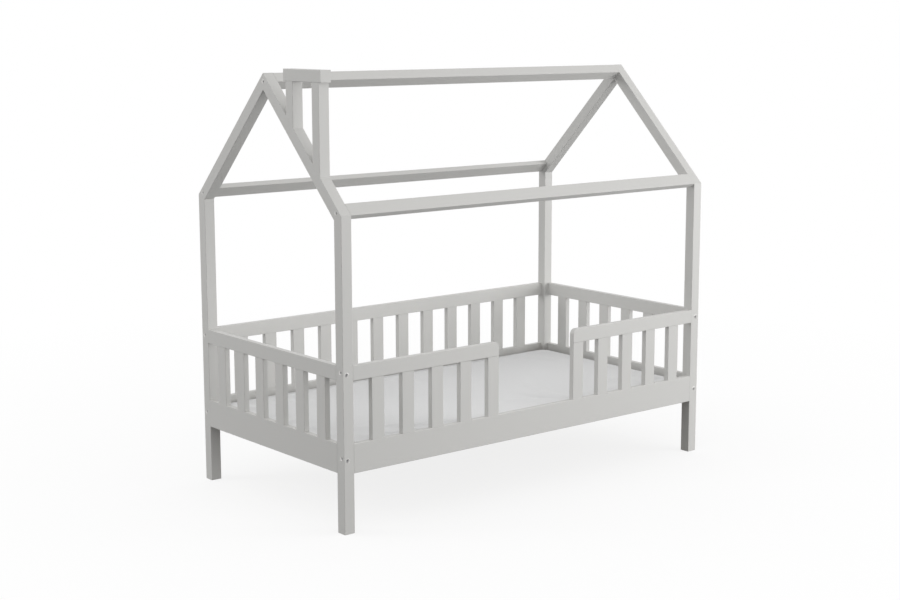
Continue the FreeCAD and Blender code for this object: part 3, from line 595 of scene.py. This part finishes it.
mattress = {
    "seamInset": 0.0032,         # middle of the piping, inwards from the side
    "seamDrop": 0.0068,          # and down from the edge of the top
    "topSlack": 0.0015,          # the top's edge lies this much under the solid's top
    "cornerRadius": 0.0375,
    "cornerSteps": 8,
    "pipingRadius": 0.0026,
    "pipingSides": 10,
    "pipingRuns": 8,             # lengths that a straight side's piping is drawn in
    "panelInset": 0.0052,        # side panels before they swell
    "panelFlare": 0.008,         # how far from the seam they have run in to it
    "bottomRounding": 0.006,
    "topRounding": 0.010,
    "topInset": 0.0048,
    "voxel": 0.008,
    "sewnWidth": 0.7,            # voxels each side of a seam that the stuffing can't move
    "bottomHeld": 0.0005,
    "frames": 20,
    "cap": 0.0042,               # no point swells further than this
    "cloth": {                   # under the names that Blender's cloth gives them
        "quality": 5,
        "mass": 0.3,
        "use_pressure": True,
        "uniform_pressure_force": 4.0,
        "tension_stiffness": 10,
        "compression_stiffness": 10,
        "shear_stiffness": 4,
        "bending_stiffness": 0.3,
        "shrink_min": -0.02,
        "vertex_group_mass": "sewn",
    },
    "drawn": 0.0085,             # how near the seam the cover's edge is drawn out to it
    "topBand": 0.004,            # the top starts this much under its seam
    "pucker": 0.0009,            # short gathers along the seams
    "puckerScale": 42,
    "puckerSlice": 3.0,          # which layer of the noise they are read from
    "puckerReach": 0.035,
    "puckerFade": 0.006,
    "wave": 0.0012,
    "waveScale": 5.0,
    "waveSlice": 9.0,
    "sag": 0.0020,               # the top lies this much under its swollen height
    "sagReach": 0.08,
    "foldReach": 0.03,           # folds grow to their height over this from the seam
    "proud": 0.0030,             # and a fold may stand this much over the solid
    "fold": {
        "height": 1.8,           # times every height in the list of folds
        "overshoot": 0.15,       # share of its length that a fold runs on past each end
        "bend": 0.18,
        "startWidth": 0.45,      # narrow at the seam, wide inside
        "steepSide": 0.36,
        "slackSide": 0.62,
        "taper": 0.7,
    },
}

# Slack folds in the top: where each starts and ends, how wide it is and how high it stands.
# The front ones fan out from the cover's edge beside the gap, as the photograph shows.
folds = [
    ((0.275, -0.375), (0.235, -0.215), 0.052, 0.0034),
    ((0.262, -0.225), (0.330, 0.020), 0.085, 0.0030),
    ((0.250, -0.345), (0.020, -0.215), 0.070, 0.0034),
    ((0.215, -0.330), (0.150, -0.170), 0.040, -0.0036),
    ((-0.300, -0.352), (-0.560, -0.262), 0.048, -0.0038),
    ((-0.340, -0.318), (-0.640, -0.205), 0.062, 0.0030),
    ((-0.420, -0.365), (-0.690, -0.318), 0.036, 0.0030),
    ((-0.735, -0.335), (-0.600, -0.120), 0.060, 0.0028),
    ((-0.740, 0.320), (-0.470, 0.230), 0.070, 0.0030),
    ((-0.120, 0.365), (0.060, 0.190), 0.066, 0.0028),
    ((0.560, 0.352), (0.690, 0.130), 0.070, 0.0030),
    ((0.745, -0.300), (0.560, -0.170), 0.058, 0.0030),
    ((0.480, -0.360), (0.600, -0.260), 0.046, -0.0026),
]


# Closed loop of points round a rectangle with round corners, made by spinning each corner.
def roundLoop(mesh, halfX, halfY, radius, z):
    corners = []
    for sideX, sideY, start in ((1, 1, 0), (-1, 1, 1), (-1, -1, 2), (1, -1, 3)):
        middle = Vector((sideX * (halfX - radius), sideY * (halfY - radius), z))
        outward = Vector((math.cos(start * quarter), math.sin(start * quarter), 0))
        first = mesh.verts.new(middle + radius * outward)
        made = bmesh.ops.spin(mesh, geom=[first], cent=middle, axis=(0, 0, 1), dvec=(0, 0, 0),
                              angle=quarter, steps=mattress["cornerSteps"], use_duplicate=False)
        corners.append((first, made["geom_last"][0]))
    for (_, last), (first, _) in zip(corners, corners[1:] + corners[:1]):
        mesh.edges.new((last, first))


# The solid's lowest and highest corners, half its length and width, and the heights of its two seams.
def mattressEdges():
    p = mattress
    low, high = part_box("mattress")
    halfX, halfY = (high.x - low.x) / 2, (high.y - low.y) / 2
    return low, high, halfX, halfY, (low.z + p["seamDrop"], high.z - p["topSlack"] - p["seamDrop"])


# The cover before the stuffing swells it: flat panels between two seams.
def mattressBlock():
    p = mattress
    low, high, halfX, halfY, seams = mattressEdges()
    mesh = bmesh.new()
    sections = [(p["panelInset"] + p["bottomRounding"], low.z),
                (p["seamInset"], seams[0]),
                (p["panelInset"], seams[0] + p["panelFlare"]),
                (p["panelInset"], seams[1] - p["panelFlare"]),
                (p["seamInset"], seams[1]),
                (p["panelInset"] + p["topRounding"], high.z - p["topInset"])]
    for inset, z in sections:
        roundLoop(mesh, halfX - inset, halfY - inset, p["cornerRadius"] + p["seamInset"] - inset, z)
    bmesh.ops.bridge_loops(mesh, edges=mesh.edges)
    bmesh.ops.holes_fill(mesh, edges=mesh.edges, sides=0)
    bmesh.ops.recalc_face_normals(mesh, faces=mesh.faces)
    return mesh


# How far a point lies outside the seam's own rounded rectangle, along the ground, and which way is out.
def seamOffset(point, halfX, halfY):
    p = mattress
    radius = p["cornerRadius"]
    signX, signY = math.copysign(1, point.x), math.copysign(1, point.y)
    across = Vector((abs(point.x) - (halfX - p["seamInset"] - radius),
                     abs(point.y) - (halfY - p["seamInset"] - radius)))
    if across.x > 0 and across.y > 0:
        outward = across.normalized()
        return across.length - radius, Vector((signX * outward.x, signY * outward.y, 0))
    if across.x > across.y:
        return across.x - radius, Vector((signX, 0, 0))
    return across.y - radius, Vector((0, signY, 0))


def seamDistance(point, halfX, halfY):
    return seamOffset(point, halfX, halfY)[0]


# The stuffing: the cover is remeshed, held along its seams and under it, and blown up as cloth.
def inflate(piece):
    p = mattress
    low, _, halfX, halfY, seams = mattressEdges()
    remesh = piece.modifiers.new("even", "REMESH")
    remesh.mode = "VOXEL"
    remesh.voxel_size = p["voxel"]
    bpy.context.view_layer.objects.active = piece
    bpy.ops.object.modifier_apply(modifier="even")
    rest = [vert.co.copy() for vert in piece.data.vertices]
    sewn = piece.vertex_groups.new(name="sewn")
    for number, start in enumerate(rest):
        level = min(abs(start.z - seam) for seam in seams)
        off = math.hypot(level, seamDistance(start, halfX, halfY))
        if off < p["sewnWidth"] * p["voxel"] or start.z < low.z + p["bottomHeld"]:
            sewn.add([number], 1.0, "REPLACE")
    cloth = piece.modifiers.new("cloth", "CLOTH")
    for key, setting in p["cloth"].items():
        setattr(cloth.settings, key, setting)
    cloth.settings.effector_weights.gravity = 0
    cloth.point_cache.frame_start = 1
    cloth.point_cache.frame_end = p["frames"]
    for number in range(1, p["frames"] + 1):
        scene.frame_set(number)
    bpy.ops.object.modifier_apply(modifier="cloth")
    scene.frame_set(1)
    for vert, start in zip(piece.data.vertices, rest):
        move = vert.co - start
        if move.length > p["cap"]:
            move *= p["cap"] / move.length
        vert.co = start + move
        vert.co.z = max(vert.co.z, low.z)


# The cover's edge is drawn out to the seam, so that it meets the piping all round.
def closeSeams(piece):
    p = mattress
    _, _, halfX, halfY, seams = mattressEdges()
    for vert in piece.data.vertices:
        beyond, outward = seamOffset(vert.co, halfX, halfY)
        seam = min(seams, key=lambda z: abs(z - vert.co.z))
        above = vert.co.z - seam
        near = math.hypot(beyond, above) / p["drawn"]
        if near < 1:
            pull = math.sqrt(1 - near)
            vert.co -= outward * beyond * pull
            vert.co.z -= above * pull


def limited(value):
    return min(max(value, 0.0), 1.0)


# The height that one fold adds: a ridge with a steep side and a slack one, tapered at its ends.
def foldHeight(point, fold):
    f = mattress["fold"]
    (startX, startY), (endX, endY), width, height = fold
    run = Vector((endX - startX, endY - startY))
    offset = Vector((point.x - startX, point.y - startY))
    share = offset.dot(run) / run.length_squared
    if not -f["overshoot"] < share < 1 + f["overshoot"]:
        return 0.0
    bend = f["bend"] * width * math.sin(math.pi * share)
    aside = (offset.x * run.y - offset.y * run.x) / run.length + bend
    spread = width * (f["startWidth"] + (1 - f["startWidth"]) * limited(share))
    side = aside / (spread * (f["steepSide"] if aside > 0 else f["slackSide"]))
    whole = limited((share + f["overshoot"]) / (1 + 2 * f["overshoot"]))
    ends = math.sin(math.pi * whole) ** f["taper"]
    return f["height"] * height * ends * math.exp(-side * side)


# Puckers run in from the seams, and slack folds cross the cover slantwise.
def slacken(piece):
    p = mattress
    _, high, halfX, halfY, seams = mattressEdges()
    for vert in piece.data.vertices:
        co = vert.co
        if co.z < seams[1] - p["topBand"]:
            continue
        inward = max(-seamDistance(co, halfX, halfY), 0.0)
        near = math.exp(-inward / p["puckerReach"]) * min(inward / p["puckerFade"], 1.0)
        scale = p["puckerScale"]
        pucker = noise.noise(Vector((co.x * scale, co.y * scale, p["puckerSlice"]))) * near
        reach = min(inward / p["sagReach"], 1.0)
        scale = p["waveScale"]
        wave = noise.noise(Vector((co.x * scale, co.y * scale, p["waveSlice"]))) * reach
        slack = sum(foldHeight(co, fold) for fold in folds) * min(inward / p["foldReach"], 1.0)
        lift = p["pucker"] * pucker + p["wave"] * wave - p["sag"] * reach + slack
        co.z = min(co.z + lift, high.z + p["proud"])


# The piping: a thin tube drawn along the sides and spun round the corners.
def piping(mesh, z):
    p = mattress
    _, _, halfX, halfY, _ = mattressEdges()
    radius = p["cornerRadius"]
    x, y = halfX - p["seamInset"], halfY - p["seamInset"]
    start = Vector((x, -(y - radius), z))
    place = Matrix.Translation(start) @ Matrix.Rotation(quarter, 4, "X")
    ring = bmesh.ops.create_circle(mesh, segments=p["pipingSides"], radius=p["pipingRadius"], matrix=place)
    first = list(ring["verts"])
    edges = [edge for edge in mesh.edges if edge.verts[0] in first and edge.verts[1] in first]
    for side in range(4):
        turned = Matrix.Rotation(side * quarter, 3, "Z")
        run = 2 * ((y if side % 2 == 0 else x) - radius)
        forward = turned @ Vector((0, 1, 0))
        for _ in range(p["pipingRuns"]):
            made = bmesh.ops.extrude_edge_only(mesh, edges=edges)["geom"]
            verts = vertsIn(made)
            edges = [edge for edge in edgesIn(made) if edge.verts[0] in verts and edge.verts[1] in verts]
            bmesh.ops.translate(mesh, verts=verts, vec=forward * run / p["pipingRuns"])
        start = start + forward * run
        centre = start - (turned @ Vector((1, 0, 0))) * radius
        made = bmesh.ops.spin(mesh, geom=edges + verts, cent=centre, axis=(0, 0, 1), dvec=(0, 0, 0),
                              angle=quarter, steps=p["cornerSteps"], use_duplicate=False)["geom_last"]
        edges = edgesIn(made)
        verts = vertsIn(made)
        start = centre + (turned @ Vector((0, 1, 0))) * radius
    bmesh.ops.remove_doubles(mesh, verts=first + verts, dist=1e-5)


def makeMattress():
    cover = mattressCloth()
    piece = addPiece("mattressCover", mattressBlock(), cover, "mattress", "mattress_cover", "mattress")
    inflate(piece)
    closeSeams(piece)
    slacken(piece)
    finer = piece.modifiers.new("finer", "SUBSURF")
    finer.levels = 1
    finer.render_levels = 1
    piece.data.shade_smooth()
    mesh = bmesh.new()
    for z in mattressEdges()[4]:
        piping(mesh, z)
    bmesh.ops.recalc_face_normals(mesh, faces=mesh.faces)
    addPiece("mattressPiping", mesh, cover, "mattress", "mattress_cover")


makeMattress()
print("mattress made")


studio = {
    "floorSize": 40.0,
    "floorColour": (0.94, 0.94, 0.94),
    "floorRoughness": 0.9,
    "floorBounce": (0.10, 0.10, 0.10),       # what the light that leaves the floor sees
    "floorGlow": 0.82,
    "glowFrom": 1.2,                         # from here out the glow grows to its full strength
    "glowOver": 2.4,
    "skyStrength": 0.79,
    "lampAim": (0, 0, 0.6),
    "lamps": {
        "key": {"at": (4.2, -4.6, 1.4), "size": 3.0, "power": 160.0},
        "front": {"at": (1.5, -8.0, 1.4), "size": 4.0, "power": 85.0},
        "left": {"at": (-6.0, 4.0, 3.6), "size": 3.2, "power": 133.0},
    },
}


# A white background for the eye, and a plainer sky for the light on the bed.
def background():
    scene.world = bpy.data.worlds.new("studio")
    sky = Shader(scene.world, "Background")
    strength = sky.node("ShaderNodeMapRange", {}, {"Value": sky.seen(), "To Min": studio["skyStrength"],
                                                   "To Max": 1.0})
    sky.set(Color=rgb(1, 1, 1), Strength=strength)


# White to the eye, with the bed's shadow in it; the glow takes over away from the bed.
def floorPaint():
    s = studio
    shader = newMaterial("floorPaint")
    seen = shader.seen()
    shader.set(colour=shader.mix(seen, rgb(*s["floorBounce"]), rgb(*s["floorColour"])),
               roughness=s["floorRoughness"])
    x, y, _ = shader.split(shader.coordinates())
    away = (((x * x + y * y) ** 0.5 - s["glowFrom"]) / s["glowOver"]).clamp()
    share = (away * (1 - s["floorGlow"]) + s["floorGlow"]) * seen
    paint = Value(shader, shader.surface.outputs[0])
    glow = shader.node("ShaderNodeEmission", {}, {"Color": rgb(1, 1, 1), "Strength": 1.0})
    mixed = shader.node("ShaderNodeMixShader", {}, [share, paint, glow])
    shader.feed(shader.tree.nodes["Material Output"].inputs["Surface"], mixed)
    return shader.owner


def makeFloor():
    mesh = bmesh.new()
    bmesh.ops.create_grid(mesh, x_segments=1, y_segments=1, size=studio["floorSize"])
    data = bpy.data.meshes.new("floor")
    mesh.to_mesh(data)
    mesh.free()
    data.materials.append(floorPaint())
    floor = bpy.data.objects.new("floor", data)
    scene.collection.objects.link(floor)


def addLamp(name, at, size, power):
    lamp = bpy.data.lights.new(name, "AREA")
    lamp.shape = "DISK"
    lamp.size = size
    lamp.energy = power
    holder = bpy.data.objects.new(name, lamp)
    holder.location = at
    toBed = Vector(studio["lampAim"]) - Vector(at)
    holder.rotation_euler = toBed.to_track_quat("-Z", "Y").to_euler()
    scene.collection.objects.link(holder)


# The photograph's own view, for a picture of 900 by 600.
view = {
    "azimuth": -39.706,
    "elevation": 9.532,
    "target": (0.052872, 0.0, 0.650181),
    "distance": 6.090587,
    "lens": 64.817,
    "sensor": 36.0,
    "shift": (-0.02133, -0.00721),
}


def makeCamera():
    turn, rise = math.radians(view["azimuth"]), math.radians(view["elevation"])
    back = Vector((math.sin(turn) * math.cos(rise), -math.cos(turn) * math.cos(rise), math.sin(rise)))
    lens = bpy.data.cameras.new("camera")
    lens.sensor_width = view["sensor"]
    lens.lens = view["lens"]
    lens.shift_x, lens.shift_y = view["shift"]
    camera = bpy.data.objects.new("camera", lens)
    camera.location = Vector(view["target"]) + back * view["distance"]
    camera.rotation_euler = (-back).to_track_quat("-Z", "Y").to_euler()
    scene.collection.objects.link(camera)
    scene.camera = camera


background()
makeFloor()
for name, lamp in studio["lamps"].items():
    addLamp(name, **lamp)
makeCamera()
scene.view_settings.view_transform = "Standard"
print("studio set")
